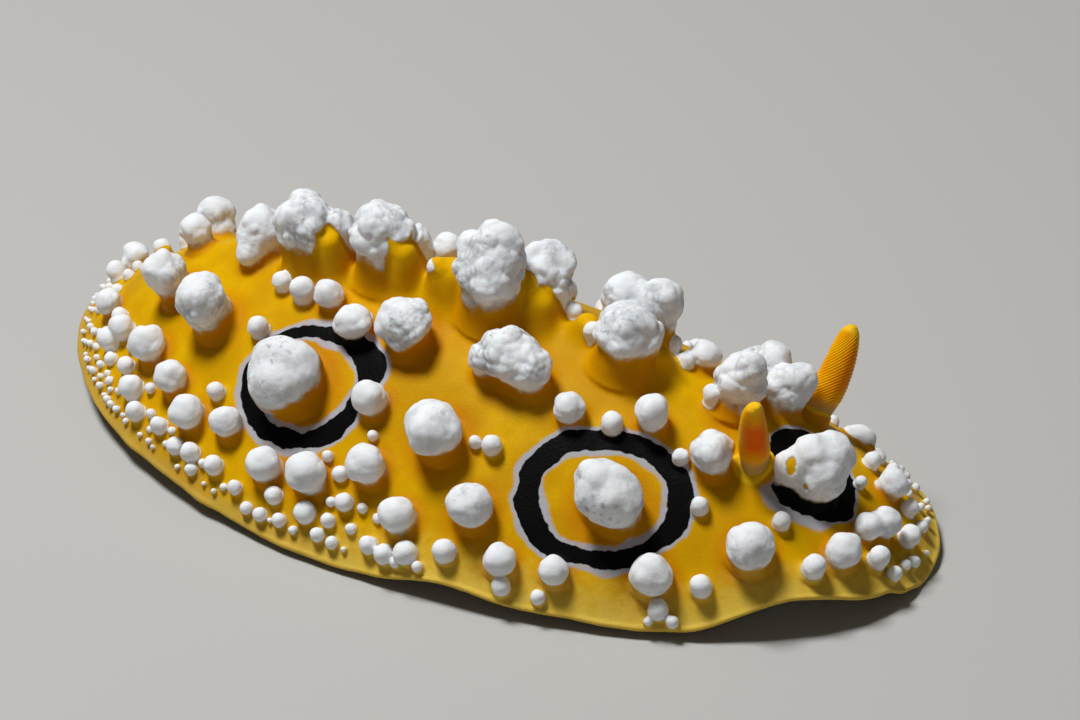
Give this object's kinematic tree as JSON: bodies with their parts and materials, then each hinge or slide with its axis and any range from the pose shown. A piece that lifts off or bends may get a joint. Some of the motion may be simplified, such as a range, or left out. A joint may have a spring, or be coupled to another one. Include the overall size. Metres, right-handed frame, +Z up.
{
  "type": "ocellate phyllidia sea slug model",
  "caption": "Still, life-size model of a crawling sea slug with a warty yellow mantle, black ring marks and orange rhinophores.",
  "frame": {"origin": "middle of the body's length and width, on the floor that the foot rests on", "axes": "+X towards the head, +Y towards the animal's left side, +Z up"},
  "size_m": [0.0556, 0.0276, 0.0171],
  "materials": {
    "mantle": "moist golden yellow skin with white warts and black rings",
    "flesh": "moist pale grey skin",
    "rhinophore": "moist orange skin"
  },
  "bodies": {
    "root": {"mantle_front": "mantle", "mantle_middle": "mantle", "mantle_rear": "mantle", "foot": "flesh", "head": "flesh", "oral_tentacle_left": "flesh", "oral_tentacle_right": "flesh", "rhinophore_left": "rhinophore", "rhinophore_right": "rhinophore"}
  },
  "joints": []
}
